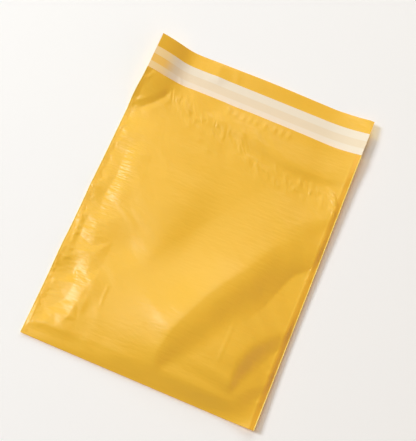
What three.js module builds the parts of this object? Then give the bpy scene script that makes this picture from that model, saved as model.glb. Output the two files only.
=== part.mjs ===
// Peel-and-seal mailing bag of polythene film, lying empty on its back panel with a little air inside.
// One web of film is folded at the bottom, welded down both sides and left open at the top, and its
// back panel runs on past the mouth as a flap with an adhesive strip under a release liner.
// Millimetres, +Z up, +Y from the bottom fold to the flap, origin under the middle of the bag.

import * as THREE from 'three';
import { ParametricGeometry } from 'three/addons/geometries/ParametricGeometry.js';
import { mergeGeometries, mergeVertices } from 'three/addons/utils/BufferGeometryUtils.js';

// The web of film
const WIDTH = 250;
const LENGTH = 350;
const POCKET = 307;
const FILM = 0.07;
const WELD = 5;
const FOLD_RADIUS = 0.6;

// The strip on the flap's inner face: distances from the bottom fold, thicknesses, and the length at the
// left end that has no adhesive, where the liner is picked up
const LINER_FROM = 308.2;
const LINER_TO = 334;
const LINER = 0.06;
const GLUE_FROM = 316;
const GLUE_TO = 325;
const GLUE = 0.05;
const DRY_END = 22;
const SEAT = 0.02;

// How the empty bag lies: the air in it, the raised fold, and the side edges that bend up off the table
const AIR = 9.5;
const AIR_ROUNDING = 28;
const MOUTH_SHARE = 0.55;
const MOUTH_FROM = 140;
const FOLD_LIFT = 1.6;
const FOLD_LIFT_REACH = 30;
const LEFT = { reach: 58, low: 0.04, high: 0.76, from: 254, to: 306 };
const RIGHT = { reach: 48, low: 0.19, high: 0.28, from: 120, to: 305 };

// Grid of the film: columns across the web and rows along it
const HALF = WIDTH / 2;
const POCKET_HALF = HALF - WELD;
const EDGE_COLUMNS = 7;
const MIDDLE_COLUMNS = 8;
const POCKET_ROWS = 20;
const FOLD_STEPS = 6;

// A value that runs smoothly from 0 at the first distance to 1 at the second
const ease = (from, to, at) => THREE.MathUtils.smoothstep(at, from, to);

// Evenly spaced stations from one value to another
const stations = (from, to, steps) =>
  Array.from({ length: steps + 1 }, (_, i) => from + ((to - from) * i) / steps);

// Share of the full gap between the two panels across the pocket: none at the welds, most in the middle
const lens = (u) => Math.max(0, 1 - Math.abs(u / POCKET_HALF) ** 3);

// Outer radius of the bottom fold: pressed flat at the welds, a soft hairpin between them
const foldRadius = (u) => FILM + (FOLD_RADIUS - FILM) * lens(u);

// Depth of air at a distance past the fold: it fills quickly and thins out again towards the mouth
function airAt(v) {
  const filled = 1 - Math.exp(-v / AIR_ROUNDING);
  const thinned = 1 - (1 - MOUTH_SHARE) * ease(MOUTH_FROM, POCKET, v);
  return AIR * filled * thinned;
}

// Gap between the inner faces of the front and back panels
function gap(u, v) {
  return lens(u) * (2 * (FOLD_RADIUS - FILM) + airAt(v - foldRadius(u)));
}

// A point of the lying bag: u across the web, v along it, rise square to the back panel's outer face.
// Beside each edge the film leaves the table on an arc, so its length across stays the same.
function place(u, v, rise, target) {
  const edge = u < 0 ? LEFT : RIGHT;
  const angle = edge.low + (edge.high - edge.low) * ease(edge.from, edge.to, v);
  const radius = edge.reach / angle;
  const flat = Math.min(Math.abs(u), HALF - edge.reach);
  const turn = (Math.abs(u) - flat) / radius;
  const lift = FOLD_LIFT * Math.max(0, 1 - v / FOLD_LIFT_REACH) ** 2;
  const across = flat + (radius - rise) * Math.sin(turn);
  const height = lift + radius - (radius - rise) * Math.cos(turn);
  target.set(Math.sign(u) * across, v - LENGTH / 2, height);
}

// A grid of points over two lists of stations
function patch(columns, rows, surface) {
  const lastColumn = columns.length - 1;
  const lastRow = rows.length - 1;
  const at = (a, b, target) => {
    surface(columns[Math.round(a * lastColumn)], rows[Math.round(b * lastRow)], target);
  };
  return new ParametricGeometry(at, lastColumn, lastRow);
}

// One closed body from patches that meet edge to edge, without the triangles that close to a line
function closedBody(patches) {
  for (const geometry of patches) {
    geometry.deleteAttribute('normal');
    geometry.deleteAttribute('uv');
  }
  const body = mergeVertices(mergeGeometries(patches));
  const corners = body.index.array;
  const kept = [];
  for (let i = 0; i < corners.length; i += 3) {
    const [a, b, c] = corners.slice(i, i + 3);
    if (a !== b && b !== c && c !== a) kept.push(a, b, c);
  }
  body.setIndex(kept);
  body.computeVertexNormals();
  return body;
}

const reversed = (list) => [...list].reverse();

// Columns are closer together near the welds, where the edges bend up
const edgeStart = POCKET_HALF - LEFT.reach;
const pocketColumns = [
  ...stations(-POCKET_HALF, -edgeStart, EDGE_COLUMNS),
  ...stations(-edgeStart, edgeStart, MIDDLE_COLUMNS).slice(1),
  ...stations(edgeStart, POCKET_HALF, EDGE_COLUMNS).slice(1),
];
const leftWeld = [-HALF, -POCKET_HALF];
const rightWeld = [POCKET_HALF, HALF];
const allColumns = [-HALF, ...pocketColumns, HALF];
const glueColumns = [DRY_END - HALF, ...allColumns.filter((u) => u > DRY_END - HALF)];

// Rows are shares of the pocket's depth, closer together at the fold, where the panels part
const pocketRows = stations(0, 1, POCKET_ROWS).map((share) => share ** 1.5);
const flapRows = [POCKET, LINER_FROM, LINER_TO, LENGTH];
const foldSteps = stations(-Math.PI / 2, Math.PI / 2, FOLD_STEPS);

// Distance from the fold line of a row in the pocket, past the hairpin itself
const alongPocket = (u, share) => foldRadius(u) + (POCKET - foldRadius(u)) * share;

function bagFilm() {
  const backOutside = (u, share, to) => place(u, alongPocket(u, share), 0, to);
  const backInside = (u, share, to) => place(u, alongPocket(u, share), FILM, to);
  const frontInside = (u, share, to) => {
    const v = alongPocket(u, share);
    place(u, v, FILM + gap(u, v), to);
  };
  const frontOutside = (u, share, to) => {
    const v = alongPocket(u, share);
    place(u, v, 2 * FILM + gap(u, v), to);
  };
  const hairpin = (inset) => (u, turn, to) => {
    const radius = foldRadius(u);
    const v = radius - (radius - inset) * Math.cos(turn);
    place(u, v, radius + (radius - inset) * Math.sin(turn), to);
  };
  const flapInside = (u, v, to) => place(u, v, FILM, to);
  const flapOutside = (u, v, to) => place(u, v, 0, to);

  // Cut edges: the two fused layers beside the pocket, one layer beside the flap
  const layers = [0, FILM, 2 * FILM];
  const sideOfPocket = (u) => (rise, share, to) => place(u, alongPocket(u, share), rise, to);
  const sideOfFlap = (u) => (rise, v, to) => place(u, v, rise, to);
  const endOfFold = (u) => (share, turn, to) => {
    const reach = FILM * share;
    place(u, FILM - reach * Math.cos(turn), FILM + reach * Math.sin(turn), to);
  };
  const lip = (u, layer, to) => place(u, POCKET, gap(u, POCKET) + layer, to);
  const flapTip = (u, rise, to) => place(u, LENGTH, rise, to);

  return closedBody([
    patch(reversed(allColumns), pocketRows, backOutside),
    patch(pocketColumns, pocketRows, backInside),
    patch(reversed(pocketColumns), pocketRows, frontInside),
    patch(allColumns, pocketRows, frontOutside),
    patch(allColumns, foldSteps, hairpin(0)),
    patch(reversed(pocketColumns), foldSteps, hairpin(FILM)),
    patch(allColumns, flapRows, flapInside),
    patch(reversed(allColumns), flapRows, flapOutside),
    patch(reversed(leftWeld), [FILM, 2 * FILM], lip),
    patch(reversed(pocketColumns), [FILM, 2 * FILM], lip),
    patch(reversed(rightWeld), [FILM, 2 * FILM], lip),
    patch(allColumns, reversed([0, FILM]), flapTip),
    patch(layers, pocketRows, sideOfPocket(-HALF)),
    patch(reversed(layers), pocketRows, sideOfPocket(HALF)),
    patch([0, FILM], flapRows, sideOfFlap(-HALF)),
    patch(reversed([0, FILM]), flapRows, sideOfFlap(HALF)),
    patch([0, 1], foldSteps, endOfFold(-HALF)),
    patch([1, 0], foldSteps, endOfFold(HALF)),
  ]);
}

// A thin band across the flap, between two rises above the flap's outer face
function band(columns, from, to, low, high) {
  const rows = [from, to];
  const rises = [low, high];
  const level = (rise) => (u, v, point) => place(u, v, rise, point);
  const edge = (v) => (u, rise, point) => place(u, v, rise, point);
  const end = (u) => (rise, v, point) => place(u, v, rise, point);
  return closedBody([
    patch(columns, rows, level(high)),
    patch(reversed(columns), rows, level(low)),
    patch(columns, rises, edge(from)),
    patch(reversed(columns), rises, edge(to)),
    patch(rises, rows, end(columns[0])),
    patch(reversed(rises), rows, end(HALF)),
  ]);
}

function piece(name, geometry, color, roughness) {
  const material = new THREE.MeshStandardMaterial({ color, roughness, metalness: 0 });
  const mesh = new THREE.Mesh(geometry, material);
  mesh.name = name;
  return mesh;
}

const glueBase = FILM + SEAT;
const linerBase = glueBase + GLUE + SEAT;
const glue = band(glueColumns, GLUE_FROM, GLUE_TO, glueBase, glueBase + GLUE);
const liner = band(allColumns, LINER_FROM, LINER_TO, linerBase, linerBase + LINER);

const bag = new THREE.Group();
bag.add(piece('bag_film', bagFilm(), '#efbc42', 0.38));
bag.add(piece('adhesive_strip', glue, '#ecd9ae', 0.5));
bag.add(piece('release_liner', liner, '#f3ead8', 0.3));

export default bag;
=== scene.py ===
# %% [markdown]
# A peel-and-seal mailing bag
#
# The bag is one web of golden-yellow polythene film. It is folded over at the bottom, welded down both
# sides, and its back panel runs on past the mouth as a flap that carries an adhesive strip under a white
# release liner. It lies empty, with a little air in it, so almost everything the eye sees is how light
# slides over folds in thin glossy film. The lesson builds the film as one surface with numpy, lays the
# strip on it, and then works on the finishes, the light and the camera.

import bpy
import numpy as np
from mathutils import Matrix, Vector
from mathutils.geometry import delaunay_2d_cdt


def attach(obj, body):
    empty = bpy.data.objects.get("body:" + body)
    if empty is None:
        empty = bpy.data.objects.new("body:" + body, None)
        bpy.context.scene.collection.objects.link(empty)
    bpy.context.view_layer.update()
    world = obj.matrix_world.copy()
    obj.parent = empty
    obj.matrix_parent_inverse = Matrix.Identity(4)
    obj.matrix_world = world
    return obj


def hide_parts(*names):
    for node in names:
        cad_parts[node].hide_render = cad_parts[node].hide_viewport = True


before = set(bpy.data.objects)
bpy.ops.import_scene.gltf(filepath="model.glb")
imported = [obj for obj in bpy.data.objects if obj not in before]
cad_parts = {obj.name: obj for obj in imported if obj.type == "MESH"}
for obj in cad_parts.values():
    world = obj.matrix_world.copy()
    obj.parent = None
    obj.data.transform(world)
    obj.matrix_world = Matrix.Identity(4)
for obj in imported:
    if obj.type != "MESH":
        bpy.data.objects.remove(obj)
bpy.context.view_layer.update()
print("nodes:", sorted(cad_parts))

# %% [markdown]
# Sizes
#
# Lengths are in millimetres while shapes are worked out, because film, welds and folds are spoken of in
# millimetres, and they are turned to metres only when a mesh is made. Two coordinates are used throughout:
# u runs across the web from its middle line, and v runs along it from the bottom fold.

# %% Driving sizes
MM = 0.001
WIDTH = 250.0
LENGTH = 350.0
POCKET = 307.0
FILM = 0.07
WELD = 5.0
FOLD_RADIUS = 0.6
HALF = WIDTH / 2
POCKET_HALF = HALF - WELD
print("web, flat:", WIDTH, "x", POCKET + LENGTH, "mm")

# %% [markdown]
# Soft steps
#
# Thin film has no corners of its own: wherever its height changes, it changes smoothly. Three formulas say
# how a value passes from one level to another. A curve drawn in Blender's curve editor could do the same,
# but a formula takes whole arrays of points and can be used again for every fold.

# %% Easing
def ease(start, end, at):
    """0 before start, 1 after end, and a smooth S between them: 3 t^2 - 2 t^3."""
    t = np.clip((at - start) / (end - start), 0.0, 1.0)
    return t * t * (3 - 2 * t)


def swing(at):
    """0 at 0 and 1 at 1, steepest halfway and level at both ends: 6 t^5 - 15 t^4 + 10 t^3."""
    return at**3 * (10 - 15 * at + 6 * at**2)


def hump(middle, half_width, at):
    """1 at the middle, falling smoothly to 0 at half_width on either side."""
    return 1 - ease(0.0, half_width, np.abs(at - middle))


print("an eased step at a quarter, half and three quarters:", ease(0, 1, np.array([0.25, 0.5, 0.75])))

# %% [markdown]
# Lines on the film
#
# A fold starts as a line, as if drawn with a pen on the flat film. A curve object could hold it, but all
# that the shape needs is how far each point of the film is from the line, and on which side. So a line is
# a few points joined by smooth cubics, and the distances are measured for all points at once.

# %% A line through a few points
LINE_STEPS = 90


def smooth_line(points):
    """A curve through a few points. Between two points it is the cubic whose slope at each of them is half
    the step between that point's neighbours."""
    p = np.asarray(points, float)
    p = np.vstack([2 * p[0] - p[1], p, 2 * p[-1] - p[-2]])
    spans = len(p) - 3
    at = np.linspace(0, spans, LINE_STEPS)
    i = np.minimum(at.astype(int), spans - 1)
    t = (at - i)[:, None]
    a, b, c, d = p[i], p[i + 1], p[i + 2], p[i + 3]
    return 0.5 * (2 * b + (c - a) * t + (2 * a - 5 * b + 4 * c - d) * t**2 + (3 * b - a - 3 * c + d) * t**3)


print("a line is sampled at", len(smooth_line([(0, 0), (30, 40), (70, 50)])), "places")

# %% Distance from a line
def beside_line(points, u, v):
    """For every point of the film: its distance from the line, positive to the right of it, and the share
    of the line's length at the nearest place. The nearest sample is found first, and the point is then
    projected on the line's direction there."""
    line = smooth_line(points)
    step = np.gradient(line, axis=0)
    along = np.concatenate([[0], np.cumsum(np.linalg.norm(np.diff(line, axis=0), axis=1))])
    gap_u = u[..., None] - line[:, 0]
    gap_v = v[..., None] - line[:, 1]
    near = (gap_u**2 + gap_v**2).argmin(axis=-1)
    du = u - line[near, 0]
    dv = v - line[near, 1]
    step_u, step_v = step[near, 0], step[near, 1]
    size = np.hypot(step_u, step_v)
    ahead = np.clip((du * step_u + dv * step_v) / size**2, -0.5, 0.5)
    distance = np.hypot(du - ahead * step_u, dv - ahead * step_v)
    side = np.sign(du * step_v - dv * step_u)
    return distance * side, np.clip((along[near] + ahead * size) / along[-1], 0, 1)


def along_fold(values, share):
    """A value given at even steps along a line, with an eased step from each to the next."""
    at = share * (len(values) - 1)
    low = np.minimum(at.astype(int), len(values) - 2)
    values = np.asarray(values, float)
    return values[low] + (values[low + 1] - values[low]) * ease(0, 1, at - low)


def changing(values, share):
    """A value given at even steps along a line, joined by straight runs."""
    return np.interp(share, np.linspace(0, 1, len(values)), values)


beside, share_along = beside_line([(0, 0), (0, 100)], np.array([7.0]), np.array([25.0]))
print("a point 7 mm to the right, a quarter of the way up:", beside, share_along)

# %% [markdown]
# Kinds of fold
#
# Empty film makes only a few kinds of fold. Across a drop the film falls away and comes back slowly, as the
# long slanting folds of the bag do. A ridge is a crease that stands up on its own. A swell or a hollow is
# where air pushes the film out or lets it sink. Crumpled film is made of small flat facets. Sculpting could
# give all of them, but as formulas they can be placed and measured against the real bag one by one.

# %% A drop and a ridge
CREST_ROUND = 6.0
PEAKED = 1.5


def drop(u, v, points, heights, widths, back, foot=(0.5, 0.5), crisp=(0.6, 0.6), line_at=(0.5, 0.5)):
    """The film falls by a height across the line, within a width, and both change along it. On the high
    side it climbs to the crest over the distance back, along a power curve that is rounded at the crest.
    foot runs from 0, a sharp crest, to 1, a sharp foot, crisp says how much of that sharpness is left in
    a soft S, and line_at is the share of the fall that lies before the line."""
    distance, share = beside_line(points, u, v)
    width = changing(widths, share)
    start = -width * changing(line_at, share)
    down = np.clip((distance - start) / width, 0, 1)
    sharp = changing(foot, share)
    creased = sharp * ease(0, 1, np.sqrt(1 - down)) + (1 - sharp) * (1 - ease(0, 1, np.sqrt(down)))
    left = changing(crisp, share)
    falls = left * creased + (1 - left) * (1 - swing(down))
    before = np.hypot(np.maximum(0, start - distance), CREST_ROUND) - CREST_ROUND
    climbs = np.clip(1 - before / back, 0, 1) ** PEAKED
    return along_fold(heights, share) * falls * climbs


def ridge(u, v, points, height, width, ends=(0.3, 0.3)):
    """A crease that stands up by height along the line and fades to both sides within width, as a power
    curve with its peak on the line. It also fades out towards both ends."""
    distance, share = beside_line(points, u, v)
    strength = ease(0, ends[0], share) * ease(0, ends[1], 1 - share)
    return height * strength * np.maximum(0, 1 - np.abs(distance) / width) ** PEAKED


beside_ridge = ridge(np.array([1.0]), np.array([50.0]), [(0, 0), (0, 100)], height=1, width=4)
print("a ridge 1 mm high, 1 mm beside its line:", beside_ridge.round(2))

# %% A swell or a hollow
def swell(u, v, middle, radii, turn, height):
    """A round swell, or a hollow if its height is below 0: the height at the middle, eased out to nothing
    at an ellipse of those radii, turned by an angle in degrees."""
    c, s = np.cos(np.radians(turn)), np.sin(np.radians(turn))
    a = (c * (u - middle[0]) + s * (v - middle[1])) / radii[0]
    b = (-s * (u - middle[0]) + c * (v - middle[1])) / radii[1]
    return height * (1 - ease(0, 1, np.hypot(a, b)))


print("a swell of 2 mm, halfway out:", swell(5.0, 0.0, (0, 0), (10, 10), 0, 2.0))

# %% Crumpled film
ROW_HEIGHT = 0.87
LATTICE_BEND = 0.35
BEND_RATES = (1.7, 1.3)
MARGIN = 3


def random_heights(size, seed):
    """Random values from -1 to 1 for the corners of a lattice that covers the web with room to spare."""
    count = int(2 * LENGTH / size) + 3 * MARGIN
    return np.random.default_rng(seed).uniform(-1, 1, (count, count))


def crumple(u, v, size, seed):
    """Crumpled film: random heights at the corners of triangles of about that size, flat in between. The
    lattice is first bent by slow waves, so that its rows don't show."""
    a = (u + HALF + v / 2) / size + LATTICE_BEND * np.sin(v / size * BEND_RATES[0] + seed) + MARGIN
    b = v * ROW_HEIGHT / size + LATTICE_BEND * np.sin(u / size * BEND_RATES[1] + seed) + MARGIN
    i, j = np.floor(a).astype(int), np.floor(b).astype(int)
    s, t = a - i, b - j
    table = random_heights(size, seed)
    near = table[i, j] * (1 - s - t) + table[i + 1, j] * s + table[i, j + 1] * t
    far = table[i + 1, j + 1] * (s + t - 1) + table[i, j + 1] * (1 - s) + table[i + 1, j] * (1 - t)
    return np.where(s + t < 1, near, far)


print("a lattice for 20 mm facets has", random_heights(20.0, 1).shape, "corners")

# %% [markdown]
# How the bag lies
#
# The back panel is flat on the table in its middle. The right side leaves the table on an arc, low along
# the pocket and higher at the flap. The left side lies almost flat along the pocket, and at the flap it
# curls up soon and then eases off, so its tip leans out rather than over. Both keep the film's length
# across, because film doesn't stretch here: a point is found by walking that length along the curve. A
# cloth simulation could find such a lie, but not this one, so the curls are formulas that can be matched.

# %% Sizes of the curls
LEFT_REACH, LEFT_LOW, LEFT_HIGH = 52.0, 0.015, 0.51
LEFT_STEEP, LEFT_EASED = 24.0, 0.35
LEFT_FROM, LEFT_TO = 254.0, 306.0
RIGHT_REACH, RIGHT_LOW, RIGHT_HIGH = 48.0, 0.27, 0.41
RIGHT_FROM, RIGHT_TO = 120.0, 305.0
WALK_STEPS = 117


def summed(values, step):
    """Running total of the area under values that stand at equal steps, starting from 0."""
    return np.concatenate([[0.0], np.cumsum((values[1:] + values[:-1]) / 2 * step)])


walk = np.linspace(0.0, LEFT_REACH, WALK_STEPS)
walk_turn = ease(0.0, LEFT_STEEP, walk) * (1 - LEFT_EASED * ease(LEFT_STEEP, LEFT_REACH, walk))
walk_rise = summed(walk_turn, walk[1])
walk_lost = summed(walk_turn**2 / 2, walk[1])
print("left edge of the flap stands", round(LEFT_HIGH * walk_rise[-1], 1), "mm off the table")

# %% Small lifts of the edges and the flap
FOLD_LIFT, FOLD_LIFT_REACH = 2.0, 100.0
TIP_LIFT, TIP_FROM, TIP_MIDDLE, TIP_HALF = 2.4, 328.0, 5.0, 85.0
DROOP, DROOP_TO = 0.34, 270.0
CORNER_AXIS, CORNER_REACH, CORNER_BEND = (0.95, 0.32), 5.2, 0.4
EDGE_AT = (0, 45, 65, 76, 88, 101, 112, 125, 140, 152, 165, 176, 193, 215, 240)
EDGE_LIFT = (0, 0.6, 1.2, 2.4, 3.8, 3.6, 1.8, 1.4, 1.4, 2.2, 3.6, 2.4, 1.2, 0.5, 0)
EDGE_LIFT_REACH = 22.0
FLAP_START = (POCKET - 2, POCKET + 4)
FLAP_RIDGES = {
    "left swell": dict(points=[(-49, 353), (-51, 339), (-45, 324)], height=1.2, width=17),
    "small swell": dict(points=[(-33, 353), (-31, 343), (-27, 333)], height=0.45, width=6),
    "right fan, long": dict(points=[(86, 352), (104, 342), (123, 333)], height=1.0, width=5),
    "right fan, short": dict(points=[(97, 352), (112, 343), (124, 337)], height=0.8, width=4),
    "nick in the strip": dict(points=[(-89, 318), (-85, 312), (-82, 305)], height=0.5, width=2.6),
}


def edge_lift(u, v):
    """How far the wavy left edge stands off the table: read from the list by v, and fading out with an
    eased step over a short reach from the edge."""
    return np.interp(v, EDGE_AT, EDGE_LIFT) * ease(EDGE_LIFT_REACH - HALF, -HALF, u)


def small_lifts(u, v):
    """What the film adds to its curls: the fold that stands up by a square curve, the wavy left edge, the
    droop of the right weld, the bent corner, the raised tip of the flap and the swells on it."""
    lift = FOLD_LIFT * np.maximum(0.0, 1 - v / FOLD_LIFT_REACH) ** 2
    lift = lift + edge_lift(u, v)
    lift = lift - DROOP * np.maximum(0.0, u - POCKET_HALF) * ease(POCKET, DROOP_TO, v)
    past_corner = (u - HALF) * CORNER_AXIS[0] + (v - LENGTH) * CORNER_AXIS[1] + CORNER_REACH
    lift = lift - CORNER_BEND * np.maximum(0.0, past_corner)
    lift = lift + TIP_LIFT * hump(TIP_MIDDLE, TIP_HALF, u) * ease(TIP_FROM, LENGTH, v) ** PEAKED
    return lift + sum(ridge(u, v, **r) for r in FLAP_RIDGES.values()) * ease(*FLAP_START, v)


print("most lift of the left edge:", max(EDGE_LIFT), "mm")

# %% The lying back panel
def lie(u, v, rise):
    """Points of the lying bag. The right side leaves the table on an arc, whose turn is the length walked
    past the flat divided by its radius. The left side turns up soon and eases off again, so its rise is the
    sum of its turns and its width is the walk less half the sum of their squares. rise is measured square
    to the film."""
    past_left = np.maximum(0.0, -u - (HALF - LEFT_REACH))
    high_left = LEFT_LOW + (LEFT_HIGH - LEFT_LOW) * ease(LEFT_FROM, LEFT_TO, v)
    turn_left = high_left * np.interp(past_left, walk, walk_turn)
    high_right = RIGHT_LOW + (RIGHT_HIGH - RIGHT_LOW) * ease(RIGHT_FROM, RIGHT_TO, v)
    radius = RIGHT_REACH / high_right
    past_right = np.maximum(0.0, u - (HALF - RIGHT_REACH))
    turn_right = past_right / radius
    x = u + high_left**2 * np.interp(past_left, walk, walk_lost) - past_right + radius * np.sin(turn_right)
    z = high_left * np.interp(past_left, walk, walk_rise) + radius * (1 - np.cos(turn_right))
    x = x + rise * (np.sin(turn_left) - np.sin(turn_right))
    z = z + rise * np.cos(turn_left) * np.cos(turn_right) + small_lifts(u, v)
    return np.stack([x, v - LENGTH / 2 + 0 * x, z], axis=-1)


tips = lie(np.array([-HALF, HALF]), np.array([LENGTH, LENGTH]), 0.0)
print("height of the flap's left and right tip, mm:", tips[:, 2].round(1))

# %% [markdown]
# Folds in the front panel
#
# Empty film never lies flat. Air holds the two panels apart, and the front one breaks into folds that run
# from the welds. Under a light from one side a fold is seen as a flank that falls away from the light, so
# each long fold here is a drop: a line drawn on the flat film, across which the film falls by a few
# millimetres towards the right of the line, and behind which it climbs again slowly.

# %% The long folds
DROPS = {
    "long fold from the right weld": dict(
        points=[(12, 12), (17, 30), (29, 54), (39, 72), (51, 94), (66, 116), (80, 133), (94, 150),
                (107, 164), (121, 176), (137, 191)],
        heights=[0, 4.6, 7.8, 8.8, 10, 10, 9, 7.5, 6, 4.5, 2],
        widths=[6, 22, 35, 40, 42, 42, 40, 36, 32, 26, 16],
        back=60, foot=(0.05, 0.05, 0.1, 0.8, 1, 1), crisp=(0.35, 0.4, 0.25, 0.4, 1, 1),
        line_at=(0.45, 0.45, 0.47, 0.55, 0.94, 0.97)),
    "lower right fold": dict(
        points=[(89, 20), (92, 44), (98, 62), (107, 77), (115, 87), (123, 96), (134, 106)],
        heights=[0, 4, 6.8, 7, 5.4, 3, 1], widths=[6, 16, 22, 21, 17, 12, 6], back=90,
        foot=(0.3, 0.8, 0.9), crisp=(0.1, 0.2, 0.5, 0.8), line_at=(0.5, 0.5, 0.6, 0.85)),
    "fall towards the right weld": dict(
        points=[(104, -12), (105, 18), (109, 44), (117, 78)],
        heights=[3.6, 4.0, 2.4, 0], widths=[46, 46, 40, 30], back=60, crisp=(0, 0)),
    "corner fold": dict(
        points=[(103, 13), (110, 28), (117, 38), (124, 47), (132, 57)],
        heights=[0, 2.0, 2.0, 0.8, 0], widths=[12, 14, 10, 5, 4], back=25, foot=(0.3, 0.8)),
    "fold under the mouth, right": dict(
        points=[(84, 180), (96, 194), (106, 207), (115, 218), (124, 231), (134, 246)],
        heights=[0, 1.6, 2.2, 2.0, 1.0, 0], widths=[36, 32, 26, 17, 8, 5], back=50,
        foot=(0.5, 0.3), crisp=(0.3, 0.3)),
    "wave below the mouth": dict(
        points=[(-44, 286), (-26, 281), (3, 275), (34, 268), (53, 265), (74, 264), (102, 267), (122, 270)],
        heights=[0, 1.4, 2.4, 2.6, 2.6, 2.4, 1.6, 0.6], widths=[12, 14, 15, 15, 15, 14, 12, 10],
        back=24, crisp=(0, 0)),
    "soft band down the middle": dict(
        points=[(-44, 100), (-29, 120), (-20, 138), (-14, 165), (-11, 191), (-12, 222), (-10, 253)],
        heights=[0, 2.2, 3.0, 3.0, 2.2, 0.7, 0], widths=[36, 44, 46, 46, 46, 44], back=110, crisp=(0, 0)),
    "left crest above the fold": dict(
        points=[(-79, 32), (-77, 48), (-72, 65), (-62, 82)],
        heights=[0, 2.6, 2.4, 0], widths=[6, 16, 22, 28], back=26, foot=(0.2, 0.3)),
    "bottom left band": dict(
        points=[(-124, 5), (-111, 11), (-95, 11), (-71, 9), (-45, 6)],
        heights=[1.0, 2.4, 2.6, 1.6, 0], widths=[8, 12, 12, 12, 10], back=40, foot=(0.2, 0.2)),
    "behind the gloss": dict(
        points=[(-86, 148), (-84, 178), (-86, 210), (-90, 232)],
        heights=[0, 1.4, 1.2, 0], widths=[16, 18, 18, 14], back=14),
}
print("long folds:", len(DROPS), "of up to", max(max(d["heights"]) for d in DROPS.values()), "mm")

# %% Creases, swells and hollows
RIDGES = {
    "thin line, right": dict(points=[(67, 96), (67, 68), (66, 36)], height=0.35, width=2.2),
    "thin line, left": dict(points=[(-63, 80), (-63, 66), (-62, 50)], height=0.5, width=2.6),
    "dent beside the mouth": dict(
        points=[(-123, 258), (-104, 275), (-94, 289), (-89, 303)], height=-1.7, width=8),
    "streak by the dent": dict(points=[(-86, 295), (-76, 286), (-62, 278)], height=0.6, width=7),
    "second streak": dict(points=[(-74, 294), (-66, 286), (-58, 279)], height=0.5, width=5),
    "third streak": dict(points=[(-66, 283), (-58, 273), (-55, 262)], height=0.5, width=7),
    "fourth streak": dict(points=[(-51, 274), (-43, 263), (-37, 250)], height=0.5, width=8),
    "fifth streak": dict(points=[(-40, 264), (-30, 255), (-25, 243)], height=0.5, width=8),
}
SWELLS = {
    "hollow in the left half": dict(middle=(-65, 122), radii=(34, 32), turn=20, height=-2.2),
    "swell behind the long fold": dict(middle=(32, 68), radii=(135, 85), turn=0, height=8.5),
    "hollow above the bottom fold": dict(middle=(-74, 14), radii=(54, 34), turn=0, height=-3.0),
}
print("creases:", len(RIDGES), "and swells and hollows:", len(SWELLS))

# %% [markdown]
# Small crinkles
#
# Between the long folds the film shows where it has been handled: facets all over, ripples under the strip
# where the lip was cut, short creases strewn below the mouth and beside the left weld, and puckers in the
# welds, which shrink as they cool. A noise texture could stand in for these as bump, but real height also
# shows along the edges and in the exported mesh, so they are added to the shape. Random ones come from a
# seeded generator and are the same on every run.

# %% Facets, ripples and puckers
CRINKLES = ((34.0, 0.6, 3), (19.0, 0.6, 5), (11.0, 0.5, 8))
CALM, LEFT_SHARE = 0.2, 0.6
LEFT_CRINKLES, MOUTH_CRINKLES, MOUTH_CRINKLES_END = (-30.0, -100.0), (225.0, 280.0), (60.0, 0.0)
RIPPLES = (-24, -15, -6, 1, 8, 18, 29, 37, 45)
RIPPLE_HEIGHT, RIPPLE_WIDTH, RIPPLE_LENGTH, RIPPLE_AT = 0.55, 3.2, 7.0, 299.0
LEFT_PUCKERS, LEFT_PUCKERS_AT = (193, 184, 168, 78, 65, 55, 45, 36, 30, 23), -123.0
RIGHT_PUCKERS, RIGHT_PUCKERS_AT = (161, 57, 27), 121.0
PUCKER_HEIGHT, PUCKER_WIDTH, PUCKER_LENGTH = 0.7, 3.2, 8.0
SEAM_HEIGHT, SEAM_AT, SEAM_WIDTH = 0.2, 119.0, 1.6


def crinkled(u, v):
    """How strongly the film is crinkled: a little everywhere, more towards the left weld, and most below
    the left half of the mouth, with eased steps between."""
    beside_weld = LEFT_SHARE * ease(*LEFT_CRINKLES, u)
    below_mouth = ease(*MOUTH_CRINKLES, v) * ease(*MOUTH_CRINKLES_END, u)
    return CALM + (1 - CALM) * np.maximum(beside_weld, below_mouth)


def small_folds(u, v):
    """Facets of three sizes, ripples under the strip, puckers in both welds and the pressed line beside the
    right weld, added together. Ripples and puckers are humps across times humps along."""
    total = crinkled(u, v) * sum(depth * crumple(u, v, size, seed) for size, depth, seed in CRINKLES)
    ripples = sum(hump(middle, RIPPLE_WIDTH, u) for middle in RIPPLES)
    total = total + RIPPLE_HEIGHT * ripples * hump(RIPPLE_AT, RIPPLE_LENGTH, v)
    for places, at in ((LEFT_PUCKERS, LEFT_PUCKERS_AT), (RIGHT_PUCKERS, RIGHT_PUCKERS_AT)):
        puckers = sum(hump(middle, PUCKER_WIDTH, v) for middle in places)
        total = total + PUCKER_HEIGHT * puckers * hump(at, PUCKER_LENGTH, u)
    return total + SEAM_HEIGHT * hump(SEAM_AT, SEAM_WIDTH, u)


print("ripples:", len(RIPPLES), "puckers:", len(LEFT_PUCKERS) + len(RIGHT_PUCKERS))

# %% Strewn creases
STROKES = {
    "below the mouth": dict(
        line=[(-84, 291), (-65, 284), (-35, 278), (-6, 270), (12, 260), (29, 251), (60, 250), (89, 250),
              (108, 246)],
        count=64, spread=5.0, turn=(120, 24), lengths=(6, 15), widths=(2.4, 4.5), heights=(0.2, 0.5),
        seed=11),
    "beside the left weld": dict(
        line=[(-119, 12), (-119, 150), (-119, 303)],
        count=60, spread=2.4, turn=(32, 20), lengths=(6, 14), widths=(1.8, 3.4), heights=(0.2, 0.5), seed=5),
    "fan at the right weld": dict(
        line=[(112, 257), (116, 247), (117, 234)],
        count=10, spread=2.0, turn=(-40, 7), lengths=(8, 13), widths=(1.8, 2.6), heights=(0.5, 0.9), seed=2),
}


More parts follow.
